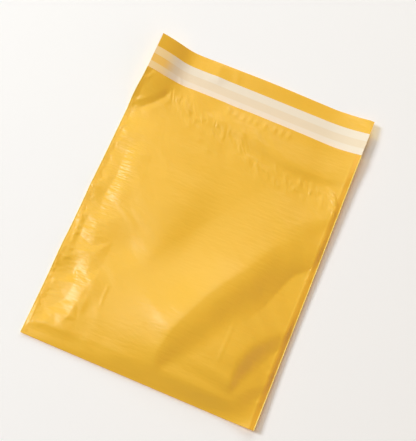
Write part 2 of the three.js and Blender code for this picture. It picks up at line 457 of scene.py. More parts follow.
def strokes(u, v, line, count, spread, turn, lengths, widths, heights, seed):
    """Short straight creases strewn beside a line: each is a hump along its length times a peaked power
    curve across it. Their places, turns and sizes come from a seeded generator."""
    rng = np.random.default_rng(seed)
    places = smooth_line(line)[rng.integers(0, LINE_STEPS, count)] + rng.normal(0, spread, (count, 2))
    total = 0 * u
    for middle in places:
        angle = np.radians(rng.normal(*turn))
        along = (u - middle[0]) * np.cos(angle) + (v - middle[1]) * np.sin(angle)
        across = (v - middle[1]) * np.cos(angle) - (u - middle[0]) * np.sin(angle)
        crest = np.maximum(0, 1 - np.abs(across) / rng.uniform(*widths)) ** PEAKED
        total = total + rng.uniform(*heights) * hump(0, rng.uniform(*lengths), along) * crest
    return total


print("strewn creases:", sum(k["count"] for k in STROKES.values()))

# %% All the folds together
def folds(u, v):
    """The sum of all the folds of the front panel."""
    total = sum(drop(u, v, **d) for d in DROPS.values())
    total = total + sum(ridge(u, v, **r) for r in RIDGES.values())
    total = total + sum(swell(u, v, **s) for s in SWELLS.values())
    total = total + sum(strokes(u, v, **k) for k in STROKES.values())
    return total + small_folds(u, v)


middle_line = folds(np.zeros(5), np.linspace(20, POCKET - 20, 5))
print("folds along the middle line, mm:", middle_line.round(2))

# %% [markdown]
# The air between the panels
#
# A little air keeps the panels apart. It fills up quickly behind the hairpin at the bottom, stays level in
# the middle and thins out at the mouth, and across the bag the gap is a flat lens that closes at the welds.
# A cloth simulation with pressure would blow the bag up like a cushion, and then the long folds would go,
# so the pillow of air is a formula too, and the folds are added to it.

# %% The pillow of air
AIR, MOUTH_SHARE, MOUTH_FROM = 9.5, 0.58, 140.0
QUICK_SHARE, QUICK_LENGTH, QUICK_POWER, SLOW_ROUNDING = 0.7, 20.0, 1.6, 60.0
BANK = 3.0
LEFT_BANK_AT, LEFT_BANK = (150.0, 190.0, 235.0), (3.4, 4.4, 5.5)
WELD_FADE, FOLD_FADE, MOUTH_FADE = 4.0, 18.0, (-12.0, 6.0)


def lens(u, bank=BANK):
    """Share of the gap between the panels: none at the welds, most in the middle, as 1 less a power of the
    distance. A higher bank makes it rise more steeply from the welds."""
    return np.maximum(0.0, 1 - np.abs(u / POCKET_HALF) ** bank)


def fold_radius(u):
    """Outer radius of the bottom fold: pressed flat at the welds, a soft hairpin between them."""
    return FILM + (FOLD_RADIUS - FILM) * lens(u)


def pillow(u, v):
    """Distance between the two panels without the creased strip: the hairpin's inside, the air that fills
    up behind it and thins out towards the mouth, and the folds, which fade out at the welds, the fold and
    the mouth."""
    past = np.maximum(0.0, v - fold_radius(u))
    quick = np.maximum(0.0, 1 - past / QUICK_LENGTH) ** QUICK_POWER
    filled = 1 - QUICK_SHARE * quick - (1 - QUICK_SHARE) * np.exp(-past / SLOW_ROUNDING)
    air = AIR * filled * (1 - (1 - MOUTH_SHARE) * ease(MOUTH_FROM, POCKET, v))
    inside = ease(0, WELD_FADE, HALF - np.abs(u)) * ease(0, FOLD_FADE, past) * ease(*MOUTH_FADE, POCKET - v)
    bank = np.where(u < 0, np.interp(v, LEFT_BANK_AT, LEFT_BANK), BANK)
    return lens(u, bank) * (2 * (FOLD_RADIUS - FILM) + air) + inside * folds(u, v)


print("gap in the middle of the bag, mm:", pillow(np.zeros(1), np.array([LENGTH / 2])).round(2))

# %% [markdown]
# Creases beside the left weld
#
# Along the left weld the slack film has broken into sharp facets that catch the light one by one. Smooth
# formulas can't give those, but a net can: crease lines are drawn as points with a height, and the
# net joins them with triangles. Blender's own triangulation keeps each drawn crease as an edge of the net.

# %% The drawn creases
CREASES = {
    "top of the bottom band": [(-116, 12, 1.8), (-108, 16, 3.8), (-96, 17, 5.2)],
    "above the band": [(-114, 28, 1.4), (-102, 31, 4.2), (-91, 26, 6.8)],
    "crest": [(-87, 33, 8.0), (-86, 50, 8.2)],
    "low valley": [(-115, 61, 2.6), (-106, 54, 2.7), (-99, 47, 3.5)],
    "edge of the low facet": [(-119, 100, 4.1), (-113, 92, 3.5), (-103, 82, 2.7), (-101, 75, 2.5)],
    "notch": [(-98, 74, 4.8), (-96, 66, 5.8)],
    "pucker": [(-120, 102, 3.6), (-111, 99, 3.6)],
    "crest of the gloss": [(-91, 101, 7.6), (-90, 88, 7.3), (-89, 76, 7.2)],
    "sliver, left": [(-119.5, 136, 2.7), (-118.5, 119, 3.0), (-117, 105, 3.6)],
    "sliver, right": [(-114, 131, 2.3), (-113, 115, 2.3), (-113, 104, 3.0)],
    "crease in the gloss": [(-110, 113, 2.8), (-102, 110, 4.4), (-95, 108, 5.8)],
    "above that crease": [(-105, 119, 5.0), (-97, 116, 6.6)],
    "below that crease": [(-104, 104, 4.6), (-97, 101, 6.8)],
    "high facet, low side": [(-119, 161, 3.8), (-106, 147, 3.2)],
    "high facet, right side": [(-106, 147, 3.2), (-107, 163, 2.9), (-104, 186, 3.2)],
    "high facet, top side": [(-120, 174, 2.8), (-111, 181, 3.2), (-104, 186, 3.2)],
    "under the high facet": [(-112, 138, 3.4), (-100, 131, 5.8)],
    "valley by the gloss": [(-112, 198, 2.4), (-106, 214, 3.0)],
}
print("creases drawn:", len(CREASES), "with", sum(len(c) for c in CREASES.values()), "points")

# %% The net
WELD_LINE = -124.5
LOW_WELD_CORNERS = (20, 32)
BORDER, BORDER_ENDS, BORDER_COUNT = -78.0, (3.0, 238.0), 9
END_CORNERS = (-95.0, -110.0, -124.0)
MERGE = 1e-4


def crease_net():
    """The creased strip as a net of triangles that keeps the crease lines as edges, between the weld and a
    border where it meets the pillow. Each corner keeps how far it stands above or below the pillow."""
    lines = [np.array(line, float) for line in CREASES.values()]
    v_weld = np.array(EDGE_AT[1:-1] + LOW_WELD_CORNERS, float)
    weld = np.stack([WELD_LINE + 0 * v_weld, v_weld, edge_lift(WELD_LINE, v_weld)], axis=1)
    drawn = np.concatenate(lines + [weld])
    off = drawn[:, 2] - edge_lift(drawn[:, 0], drawn[:, 1]) - pillow(drawn[:, 0], drawn[:, 1])
    rim = [(BORDER, v) for v in np.linspace(*BORDER_ENDS, BORDER_COUNT)]
    rim = rim + [(u, v) for u in END_CORNERS for v in BORDER_ENDS]
    corners = np.concatenate([drawn[:, :2], np.array(rim)])
    off = np.concatenate([off, np.zeros(len(rim))])
    starts = np.cumsum([0] + [len(line) for line in lines])
    joined = [(i, i + 1) for a, b in zip(starts[:-1], starts[1:]) for i in range(a, b - 1)]
    result = delaunay_2d_cdt([Vector(c) for c in corners], joined, [], 0, MERGE)
    places = np.array([tuple(c) for c in result[0]])
    kept = np.array([ids[0] if ids else -1 for ids in result[3]])
    return places, off[kept], np.array(result[2])


print("triangles in the net:", len(crease_net()[2]))

# %% The front panel's height
SOFTNESS, SOFT_STEPS = 0.6, 6
LEAST_GAP = 0.02


def facets(u, v):
    """Height of the net above the pillow: inside each triangle the corners' heights are mixed by their
    shares of its area, and a few shifted copies are averaged so that no crease is knife-sharp."""
    places, heights, triangles = crease_net()
    total = np.zeros(u.shape)
    turns = np.linspace(0, 2 * np.pi, SOFT_STEPS, endpoint=False)
    shifts = [(0.0, 0.0)] + [(SOFTNESS * np.cos(t), SOFTNESS * np.sin(t)) for t in turns]
    near = u < BORDER + 2 * SOFTNESS
    for du, dv in shifts:
        x, y = u[near] + du, v[near] + dv
        value = np.zeros(x.shape)
        for a, b, c in triangles:
            (ax, ay), (bx, by), (cx, cy) = places[a], places[b], places[c]
            area = (bx - ax) * (cy - ay) - (cx - ax) * (by - ay)
            s = ((bx - x) * (cy - y) - (cx - x) * (by - y)) / area
            t = ((cx - x) * (ay - y) - (ax - x) * (cy - y)) / area
            within = (s >= 0) & (t >= 0) & (s + t <= 1)
            mixed = s * heights[a] + t * heights[b] + (1 - s - t) * heights[c]
            value = np.where(within, mixed, value)
        total[near] += value / len(shifts)
    return total


def gap(u, v):
    """Height of the front panel over the back one: the pillow with the creased strip, never below it."""
    return np.maximum(LEAST_GAP, pillow(u, v) + facets(u, v))


print("gap beside the left weld, mm:", gap(np.array([-110.0, -95.0]), np.array([100.0, 100.0])).round(2))

# %% [markdown]
# The film
#
# The web is followed from the front lip down the front panel, round the hairpin at the bottom and up the
# back panel to the tip of the flap, so one grid covers the whole piece. The grid is close in the front
# panel, where the folds show. A second layer, one film thickness inside the first, closes it to a thin
# solid, because real film has two faces and an edge. A Solidify modifier would do the same, but here both
# layers are arrays already, so the normals of the grid give the second one directly.

# %% Faces of grids
def grid_faces(rows, columns, first=0, turned=False):
    """Quads between the points of a grid that is stored row by row."""
    a = first + np.arange(rows - 1)[:, None] * columns + np.arange(columns - 1)[None, :]
    quads = np.stack([a, a + columns, a + columns + 1, a + 1], axis=-1).reshape(-1, 4)
    return quads[:, ::-1] if turned else quads


def grid_normals(points):
    """Unit normals of a grid: the cross product of its two directions."""
    normal = np.cross(np.gradient(points, axis=0), np.gradient(points, axis=1))
    return normal / np.linalg.norm(normal, axis=-1, keepdims=True)


def shell_faces(rows, columns):
    """Faces of a thin solid between two grids of the same shape, with its four cut edges closed."""
    count = rows * columns
    index = np.arange(count).reshape(rows, columns)
    rim = np.concatenate([index[0, :-1], index[:-1, -1], index[-1, :0:-1], index[:0:-1, 0]])
    ahead = np.roll(rim, -1)
    edge = np.stack([rim, ahead, ahead + count, rim + count], axis=-1)
    return np.concatenate([grid_faces(rows, columns), grid_faces(rows, columns, count, True), edge])


print("a shell of 3 by 3 points has", len(shell_faces(3, 3)), "faces")

# %% From arrays to an object
SHARP_DEGREES = 40


def make_piece(name, points, faces, material):
    """A mesh object at the origin from points in millimetres, smooth except across sharp edges."""
    mesh = bpy.data.meshes.new(name)
    mesh.from_pydata(points.reshape(-1, 3) * MM, [], faces)
    mesh.polygons.foreach_set("use_smooth", np.ones(len(mesh.polygons), bool))
    mesh.set_sharp_from_angle(angle=np.radians(SHARP_DEGREES))
    mesh.materials.append(material)
    piece = bpy.data.objects.new(name, mesh)
    bpy.context.collection.objects.link(piece)
    print(name, "triangles:", sum(len(p.vertices) - 2 for p in mesh.polygons))
    return piece


def store(piece, name, values):
    """A number for each point of a piece, which its material can read."""
    attribute = piece.data.attributes.new(name, "FLOAT", "POINT")
    attribute.data.foreach_set("value", np.asarray(values, np.float32).ravel())


print("edges sharper than", SHARP_DEGREES, "degrees stay sharp")

# %% The web as one grid
COLUMN_STOPS, COLUMN_COUNTS = (-HALF, -55.0, 60.0, 116.0, HALF), (60, 70, 34, 12)
FRONT_ROWS, HAIRPIN_STEPS, BACK_ROWS, FLAP_ROWS = 222, 9, 41, 17
FUSED_REACH, FUSED_FROM, FUSED_TO = 5.0, 240.0, 280.0

runs = zip(COLUMN_STOPS[:-1], COLUMN_STOPS[1:], COLUMN_COUNTS)
columns = np.concatenate([np.linspace(a, b, count)[:-1] for a, b, count in runs] + [[HALF]])
front_v = np.linspace(1, 0, FRONT_ROWS)
hairpin = np.linspace(np.pi / 2, -np.pi / 2, HAIRPIN_STEPS)[1:-1]
back_v = np.concatenate([np.linspace(0, 1, BACK_ROWS)[:-1], np.linspace(1, LENGTH / POCKET, FLAP_ROWS)])


def fused(u, v):
    """1 in the welds, where both panels are one layer, falling to 0 just inside them and at the mouth."""
    return ease(POCKET_HALF - FUSED_REACH, POCKET_HALF, np.abs(u)) * ease(FUSED_TO, FUSED_FROM, v)


def web():
    """The outer face of the whole web: front panel downwards, hairpin, back panel upwards and flap. In the
    welds the back panel is lifted to the front one."""
    radius = fold_radius(columns)[None, :]
    u = columns[None, :]
    v_front = radius + (POCKET - radius) * front_v[:, None]
    u_front = u + 0 * v_front
    front = lie(u_front, v_front, 2 * FILM + gap(u_front, v_front))
    turn = hairpin[:, None]
    bend = lie(u + 0 * turn, radius - radius * np.cos(turn), radius + radius * np.sin(turn))
    share = back_v[:, None]
    v_back = np.where(share <= 1, radius + (POCKET - radius) * share, POCKET * share)
    u_back = u + 0 * v_back
    back = lie(u_back, v_back, fused(u_back, v_back) * (gap(u_back, v_back) - LEAST_GAP))
    return np.concatenate([front, bend, back])


outer = web()
inner = outer - FILM * grid_normals(outer)
print("grid of the web:", outer.shape[:2], "highest point", outer[..., 2].max().round(1), "mm")

# %% [markdown]
# Colours and nodes
#
# Colours are picked as the hex values that a screen shows, and shaders work in linear light, so one function
# turns the first into the second. Another adds a node with its settings and links. Thin plastic also lets
# some light through into its own shadow: a mix by the kind of ray gives that, with a tinted transparent
# shader for shadow rays only. Glass-like transmission would do it too, but slowly and with more noise.

# %% Colour, node and material helpers
MIX_A, MIX_B, MIX_RESULT = 6, 7, 2
SHADER_A, SHADER_B = 1, 2


def linear(hex_colour):
    """An sRGB hex colour as linear red, green, blue and alpha."""
    c = np.array([int(hex_colour[i:i + 2], 16) for i in (1, 3, 5)]) / 255
    c = np.where(c <= 0.04045, c / 12.92, ((c + 0.055) / 1.055) ** 2.4)
    return (*c, 1.0)


def node(tree, kind, settings=None, numbered=None, **named):
    """Adds a node, sets its properties and sockets, and links other nodes' sockets into it: named ones by
    the socket's name and, where names repeat, numbered ones by its number."""
    made = tree.nodes.new(kind)
    for name, value in (settings or {}).items():
        if isinstance(name, str) and hasattr(made, name):
            setattr(made, name, value)
        else:
            made.inputs[name].default_value = value
    for number, source in (numbered or {}).items():
        tree.links.new(source, made.inputs[number])
    for name, source in named.items():
        tree.links.new(source, made.inputs[name.replace("_", " ")])
    return made


def new_material(name):
    """An empty node material and its tree."""
    material = bpy.data.materials.new(name)
    material.use_nodes = True
    material.node_tree.nodes.clear()
    return material, material.node_tree


def finish_with(tree, shader, shadow_tint=None):
    """Puts a shader on the surface. With a tint, shadow rays go through the piece and take its colour."""
    surface = shader.outputs[0]
    if shadow_tint:
        shadow_ray = node(tree, "ShaderNodeLightPath").outputs["Is Shadow Ray"]
        clear = node(tree, "ShaderNodeBsdfTransparent", {"Color": linear(shadow_tint)}).outputs[0]
        either = {SHADER_A: surface, SHADER_B: clear}
        surface = node(tree, "ShaderNodeMixShader", None, either, Fac=shadow_ray).outputs[0]
    node(tree, "ShaderNodeOutputMaterial", Surface=surface)


print("golden yellow in linear light:", np.round(linear("#ecc83a"), 3))

# %% [markdown]
# Golden polythene film
#
# The film is polythene blown into a tube and pigmented golden yellow before it was slit. It has a satin
# gloss, not a mirror, because the melt freezes with a fine waviness drawn out across the web, and the
# pigment is a little cloudy. A little light comes through, which warms the shadows beside the bag. A plain
# glossy plastic would look like enamel, so the gloss is broken by bump and by a slow change of roughness.
# Where the film was handled, its finest creases are narrower than the mesh can hold, so they are bump too:
# a noise whose ridges are sharp, kept to the handled places by a number stored on each point.

# %% The film's fine relief
STREAK_LONG, STREAK_SHORT, STREAK_DEPTH, STREAK_STRENGTH = 14.0, 3.0, 0.4, 0.7
HATCH = 2.0
CREASE_ACROSS, CREASE_ALONG, CREASE_TURN, CREASE_DEPTH = 4.5, 11.0, 27.0, 0.8


def drawn_streaks(tree, place):
    """The waviness of the blown film as bump: a noise drawn out across the web, and deeper where the film
    is hatched. Real streaks are finer, and these are as coarse as the picture can show."""
    streak_scale = (1 / (STREAK_LONG * MM), 1 / (STREAK_SHORT * MM), 1 / (STREAK_LONG * MM))
    drawn = node(tree, "ShaderNodeMapping", {"Scale": streak_scale}, Vector=place)
    streaks = node(tree, "ShaderNodeTexNoise", {"Scale": 1.0, "Detail": 2.0}, Vector=drawn.outputs["Vector"])
    hatched = node(tree, "ShaderNodeAttribute", {"attribute_name": "hatched"}).outputs["Fac"]
    hatch = node(tree, "ShaderNodeMapRange", {"To Min": 1.0, "To Max": 1.0 + HATCH}, Value=hatched)
    waves = node(tree, "ShaderNodeMath", {"operation": "MULTIPLY"},
                 {0: streaks.outputs["Fac"], 1: hatch.outputs["Result"]})
    bump = node(tree, "ShaderNodeBump", {"Strength": STREAK_STRENGTH, "Distance": STREAK_DEPTH * MM},
                Height=waves.outputs["Value"])
    return bump.outputs["Normal"]


def finest_creases(tree, place, streaked):
    """The narrowest creases as bump over the streaks: a noise with sharp ridges, turned and stretched to
    the run of the creases, times how much the film was handled."""
    crease_size = (CREASE_ACROSS * MM, CREASE_ALONG * MM, CREASE_ALONG * MM)
    turned = node(tree, "ShaderNodeMapping", {"vector_type": "TEXTURE", "Scale": crease_size,
                                              "Rotation": (0.0, 0.0, np.radians(CREASE_TURN))}, Vector=place)
    ridges = node(tree, "ShaderNodeTexNoise",
                  {"noise_type": "RIDGED_MULTIFRACTAL", "Scale": 1.0, "Detail": 1.0, "Distortion": 0.4},
                  Vector=turned.outputs["Vector"])
    handled = node(tree, "ShaderNodeAttribute", {"attribute_name": "handled"}).outputs["Fac"]
    depth = node(tree, "ShaderNodeMath", {"operation": "MULTIPLY"}, {0: ridges.outputs["Fac"], 1: handled})
    creases = node(tree, "ShaderNodeBump", {"Strength": 1.0, "Distance": CREASE_DEPTH * MM},
                   Height=depth.outputs["Value"], Normal=streaked)
    return creases.outputs["Normal"]


print("streaks every", STREAK_SHORT, "mm, finest creases every", CREASE_ACROSS, "mm")

# %% Film finish
CLOUD = 45.0
CLOUD_RANGE = (0.3, 0.7)
FILM_ROUGHNESS = (0.35, 0.39)
FILM_GLOW = 0.2


def polythene_film():
    """Blown polythene, pigmented golden yellow: satin gloss over a coloured, slightly translucent film. To
    the eye it gives broad soft highlights and a deeper yellow where the film turns from the light."""
    material, tree = new_material("golden polythene film")
    place = node(tree, "ShaderNodeTexCoord").outputs["Object"]
    relief = finest_creases(tree, place, drawn_streaks(tree, place))
    clouds = node(tree, "ShaderNodeTexNoise", {"Scale": 1 / (CLOUD * MM), "Detail": 3.0}, Vector=place)
    pigment = node(tree, "ShaderNodeMix",
                   {"data_type": "RGBA", MIX_A: linear("#e8c436"), MIX_B: linear("#ecc83a")},
                   Factor=clouds.outputs["Fac"])
    # Deeper yellow in the welds: partly the melted double layer, and partly painted shade on the right weld.
    welded = node(tree, "ShaderNodeAttribute", {"attribute_name": "weld"}).outputs["Fac"]
    tone = node(tree, "ShaderNodeMix", {"data_type": "RGBA", MIX_B: linear("#eabf36")},
                {MIX_A: pigment.outputs[MIX_RESULT]}, Factor=welded)
    satin = node(tree, "ShaderNodeMapRange",
                 {"From Min": CLOUD_RANGE[0], "From Max": CLOUD_RANGE[1],
                  "To Min": FILM_ROUGHNESS[0], "To Max": FILM_ROUGHNESS[1]}, Value=clouds.outputs["Fac"])
    shine = node(tree, "ShaderNodeBsdfPrincipled", {"IOR": 1.54}, Base_Color=tone.outputs[MIX_RESULT],
                 Roughness=satin.outputs["Result"], Normal=relief)
    glow = node(tree, "ShaderNodeBsdfTranslucent", {"Color": linear("#ffd060")})
    film_and_glow = {SHADER_A: shine.outputs[0], SHADER_B: glow.outputs[0]}
    finish_with(tree, node(tree, "ShaderNodeMixShader", {"Fac": FILM_GLOW}, film_and_glow),
                shadow_tint="#d1c165")
    return material


film_finish = polythene_film()
print("finish:", film_finish.name)

# %% [markdown]
# The film as a piece
#
# The grid becomes one mesh that replaces the CAD film. In the welds the two layers are melted into one and
# the yellow is a little deeper. The right weld is deepened much more than the left, and that is painted
# shade, because it turns away from the window. So each point stores its share of weld tone and painted
# shade, and the finish reads that number. How much the film was handled, and how far it is hatched in the
# gloss beside the left weld, are stored in the same way. Painting vertices by hand would give the same, but
# not at an exact distance.

# %% What each point stores
# Weld tone and painted shade: the melted double layer is a little deeper yellow. The right weld is deepened
# as painted shade, because it turns from the window, and the left weld gets a fifth of it.
LEFT_WELD_TONE_AND_SHADE = 0.2
WELD_TONE_AND_SHADE_FROM, WELD_TONE_AND_SHADE_TO = 118.5, 120.5
HANDLED_BAND, HANDLED_WELD, WELD_SHARE = 20.0, 14.0, 0.8
GLOSS_AT, GLOSS_HALF, GLOSS_LOW, GLOSS_HIGH = -98.0, 24.0, (60.0, 95.0), (255.0, 215.0)

pocket_rows = FRONT_ROWS + len(hairpin) + BACK_ROWS - 1
in_pocket = (np.arange(len(outer)) < pocket_rows)[:, None]
weld_tone_and_shade = np.where(columns < 0, LEFT_WELD_TONE_AND_SHADE, 1.0) * ease(WELD_TONE_AND_SHADE_FROM, WELD_TONE_AND_SHADE_TO, np.abs(columns))
u_front, v_front = np.meshgrid(columns, POCKET * front_v)
beside_band = beside_line(STROKES["below the mouth"]["line"], u_front, v_front)[0]
handled = np.maximum(hump(0, HANDLED_BAND, beside_band), WELD_SHARE * hump(-HALF, HANDLED_WELD, u_front))
hatched = hump(GLOSS_AT, GLOSS_HALF, u_front) * ease(*GLOSS_LOW, v_front) * ease(*GLOSS_HIGH, v_front)
past_front = np.zeros((len(outer) - FRONT_ROWS, len(columns)))
film_numbers = {
    "weld": weld_tone_and_shade[None, :] * in_pocket,
    "handled": np.concatenate([handled, past_front]),
    "hatched": np.concatenate([hatched, past_front]),
}
print("share of the points with more than half:",
      {name: round(float((values > 0.5).mean()), 3) for name, values in film_numbers.items()})

# %% Make the film
film = make_piece("bag_film", np.concatenate([outer, inner]), shell_faces(*outer.shape[:2]), film_finish)
for number_name, values in film_numbers.items():
    store(film, number_name, np.concatenate([values, values]))
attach(film, "root")
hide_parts("bag_film")
print("film cut to", WIDTH, "x", POCKET + LENGTH, "mm and folded")

# %% [markdown]
# Weld beads
#
# Bags are welded and cut in one stroke by a hot wire, and the melted edge draws back into a thin bead that
# catches a line of light along both sides. It is a small circle carried along the edge, on the same curve
# as the film, and closed at its ends. A bevel on the film's edge would be too thin to show as a bead.

# %% Bead finish
LUMP = 2.5


def melted_bead_with_painted_highlight():
    """Polythene melted by the hot wire and cooled: the same yellow, thicker and smoother. Its paler yellow
    is a painted highlight for the light that the rounded edge catches, and it varies a little at random. To
    the eye it gives a thin bright line that is a little uneven."""
    material, tree = new_material("melted polythene bead")
    place = node(tree, "ShaderNodeTexCoord").outputs["Object"]
    lumps = node(tree, "ShaderNodeTexNoise", {"Scale": 1 / (LUMP * MM)}, Vector=place)
    # Painted highlight: the bead's pale yellow stands for the light that its rounded edge catches.
    tone = node(tree, "ShaderNodeMix",
                {"data_type": "RGBA", MIX_A: linear("#f6dc5c"), MIX_B: linear("#fdec84")},
                Factor=lumps.outputs["Fac"])
    shine = node(tree, "ShaderNodeBsdfPrincipled", {"Roughness": 0.3, "IOR": 1.54},
                 Base_Color=tone.outputs[MIX_RESULT])
    finish_with(tree, shine)
    return material


bead_finish = melted_bead_with_painted_highlight()
print("finish:", bead_finish.name)

# %% Make the beads
BEAD, BEAD_SIDES, BEAD_STEPS, BEAD_START = 0.42, 8, 160, 0.5


def bead(name, u):
    """A thin round bead of melted film along a cut edge: a circle carried along the edge, closed at its
    ends."""
    v = np.linspace(BEAD_START, POCKET, BEAD_STEPS)[:, None]
    turn = np.linspace(0, 2 * np.pi, BEAD_SIDES, endpoint=False)[None, :]
    centre = lie(u + 0 * v, v, FILM + gap(u + 0 * v, v))
    points = centre + BEAD * np.stack([np.cos(turn), 0 * turn, np.sin(turn)], axis=-1)
    index = np.arange(BEAD_STEPS * BEAD_SIDES).reshape(-1, BEAD_SIDES)
    ahead = np.roll(index, -1, axis=1)
    sides = np.stack([index[:-1], index[1:], ahead[1:], ahead[:-1]], axis=-1).reshape(-1, 4).tolist()
    ends = [index[0].tolist(), index[-1, ::-1].tolist()]
    piece = make_piece(name, points, sides + ends, bead_finish)
    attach(piece, "root")
    return piece


beads = [bead("weld_bead_left", -HALF), bead("weld_bead_right", HALF)]
print("beads:", [piece.name for piece in beads])

# %% [markdown]
# The strip's finishes
#
# The bag is closed with a band of hot-melt adhesive, which waits under a milky release film. The film is
# wider than the adhesive, so the strip looks white at both sides and cream along its middle. At the left
# end there is no adhesive, for a thumb to pick the film up, and the yellow shows through. There the release
# film is also given painted light: its yellow is brighter, and it reaches the white sides too, for light
# that comes through the curled flap and bounces off the bag. The colours could come from real transparency,
# but three layers a few hundredths of a millimetre apart render badly, so the release film carries the
# colours that the eye sees through it.

# %% Adhesive and release film
LINER_FROM, LINER_TO = 308.2, 334.0
GLUE_FROM, GLUE_TO = 316.0, 325.0
DRY_END, DRY_BLUR = 22.0, 9.0
EDGE_BLUR = 0.0075
GLUE_STREAK = 3.3
LINER_GLOW = 0.15


def hot_melt():
    """Hot-melt adhesive laid in a ribbon: cream, soft and slightly shiny. To the eye it gives a warm band
    with faint streaks."""
    material, tree = new_material("hot-melt adhesive")
    place = node(tree, "ShaderNodeTexCoord").outputs["Object"]
    streaks = node(tree, "ShaderNodeTexNoise", {"Scale": 1 / (GLUE_STREAK * MM)}, Vector=place)
    tone = node(tree, "ShaderNodeMix",
                {"data_type": "RGBA", MIX_A: linear("#e7d09a"), MIX_B: linear("#eed9ab")},
                Factor=streaks.outputs["Fac"])
    shine = node(tree, "ShaderNodeBsdfPrincipled", {"Roughness": 0.4, "IOR": 1.48},
                 Base_Color=tone.outputs[MIX_RESULT])
    finish_with(tree, shine)
    return material


def bands_across(tree, along, edge, middle):
    """A ramp over the strip's width: the edge colour at both sides and the middle one over the adhesive,
    with a narrow blur between them."""
    ramp = node(tree, "ShaderNodeValToRGB", Fac=along)
    stops = ramp.color_ramp.elements
    stops[0].color = linear(edge)
    stops[1].color = linear(edge)
    low, high = [(at - LINER_FROM) / (LINER_TO - LINER_FROM) for at in (GLUE_FROM, GLUE_TO)]
    for at, colour in ((low - EDGE_BLUR, edge), (low + EDGE_BLUR, middle),
                       (high - EDGE_BLUR, middle), (high + EDGE_BLUR, edge)):
        stops.new(at).color = linear(colour)
    return ramp.outputs["Color"]


def release_film():
    """Release film, a thin milky polythene with a slippery coat: satin white, with the cream adhesive
    showing through in its middle. To the eye it gives soft white bands that go yellow at the dry end, partly
    from the film showing through and partly from a painted glow of light through the curled flap."""
    material, tree = new_material("milky release film")
    along = node(tree, "ShaderNodeAttribute", {"attribute_name": "along"}).outputs["Fac"]
    across = node(tree, "ShaderNodeAttribute", {"attribute_name": "across"}).outputs["Fac"]
    ramp = node(tree, "ShaderNodeMapRange", {"From Min": LINER_FROM, "From Max": LINER_TO}, Value=along)
    dry_at = DRY_END - HALF
    dry = node(tree, "ShaderNodeMapRange",
               {"From Min": dry_at + DRY_BLUR, "From Max": dry_at - DRY_BLUR,
                "interpolation_type": "SMOOTHSTEP"}, Value=across)
    over_glue = bands_across(tree, ramp.outputs["Result"], "#f4eddb", "#f1e5ca")
    # Painted glow: at the dry end the yellow is brighter than the film below would show, and it reaches the
    # sides, for light through the curled flap and bounced off the bag.
    over_film_with_glow = bands_across(tree, ramp.outputs["Result"], "#ffeab0", "#ffda70")
    tone = node(tree, "ShaderNodeMix", {"data_type": "RGBA"}, {MIX_A: over_glue, MIX_B: over_film_with_glow},
                Factor=dry.outputs["Result"])
    shine = node(tree, "ShaderNodeBsdfPrincipled", {"Roughness": 0.3, "IOR": 1.48},
                 Base_Color=tone.outputs[MIX_RESULT])
    glow = node(tree, "ShaderNodeBsdfTranslucent", Color=tone.outputs[MIX_RESULT])
    film_and_glow = {SHADER_A: shine.outputs[0], SHADER_B: glow.outputs[0]}
    finish_with(tree, node(tree, "ShaderNodeMixShader", {"Fac": LINER_GLOW}, film_and_glow),
                shadow_tint="#b3ab97")
    return material


glue_finish, liner_finish = hot_melt(), release_film()
print("finishes:", glue_finish.name, "and", liner_finish.name)

# %% [markdown]
# The strip
#
# Both layers are thin bands laid on the flap's inner face. They follow the flap because they are made with
# the same lying surface, only a little higher, and a small seat between the layers keeps them apart. A
# shrinkwrap modifier could lay them down as well, but then their thickness would not be known.

# %% Make the adhesive and the liner
SEAT = 0.02
GLUE, LINER = 0.05, 0.06
GLUE_ROWS, LINER_ROWS = 6, 14


def band(name, across, start, end, low, high, rows, material):
    """A thin band across the flap: two grids at a low and a high rise over the flap's outer face, with the
    edges between them closed. Each point keeps where it lies across and along the web."""
    u, v = np.meshgrid(across, np.linspace(end, start, rows))
    layers = [lie(u, v, high + 0 * u), lie(u, v, low + 0 * u)]
    piece = make_piece(name, np.concatenate(layers), shell_faces(*u.shape), material)
    store(piece, "across", np.concatenate([u, u]))
    store(piece, "along", np.concatenate([v, v]))
    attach(piece, "root")
    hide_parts(name)
    return piece


glue_base = FILM + SEAT
liner_base = glue_base + GLUE + SEAT
glued_columns = columns[columns > DRY_END - HALF]
glue = band("adhesive_strip", glued_columns, GLUE_FROM, GLUE_TO, glue_base, glue_base + GLUE, GLUE_ROWS,
            glue_finish)
liner = band("release_liner", columns, LINER_FROM, LINER_TO, liner_base, liner_base + LINER, LINER_ROWS,
             liner_finish)
print("liner:", WIDTH, "x", round(LINER_TO - LINER_FROM, 1), "mm")

# %% [markdown]
# The table
#
# The bag lies on a white matt surface that runs out of view on every side. It is one large quad, a hair
# below the film so that the two don't flicker. Its white is just short of pure, so the shadow and the warm
# light that comes through the film both show on it.

# %% Floor
FLOOR_HALF, FLOOR_AT = 2500.0, -0.05
FLOOR_CLOUD = 250.0


def matt_white():
    """Matt white laminate: no gloss to speak of. To the eye it gives an even white with the faintest cloud
    in it."""
    material, tree = new_material("matt white laminate")
    place = node(tree, "ShaderNodeTexCoord").outputs["Object"]
    clouds = node(tree, "ShaderNodeTexNoise", {"Scale": 1 / (FLOOR_CLOUD * MM)}, Vector=place)
    tone = node(tree, "ShaderNodeMix",
                {"data_type": "RGBA", MIX_A: linear("#fafdff"), MIX_B: linear("#fcffff")},
                Factor=clouds.outputs["Fac"])
    shine = node(tree, "ShaderNodeBsdfPrincipled", {"Roughness": 0.8, "Specular IOR Level": 0.2},
                 Base_Color=tone.outputs[MIX_RESULT])
    finish_with(tree, shine)
    return material


floor_u, floor_v = np.meshgrid([-FLOOR_HALF, FLOOR_HALF], [FLOOR_HALF, -FLOOR_HALF])
floor_points = np.stack([floor_u, floor_v, 0 * floor_u + FLOOR_AT], axis=-1)
floor = make_piece("table", floor_points, grid_faces(2, 2), matt_white())
print("table:", 2 * FLOOR_HALF * MM, "m square")

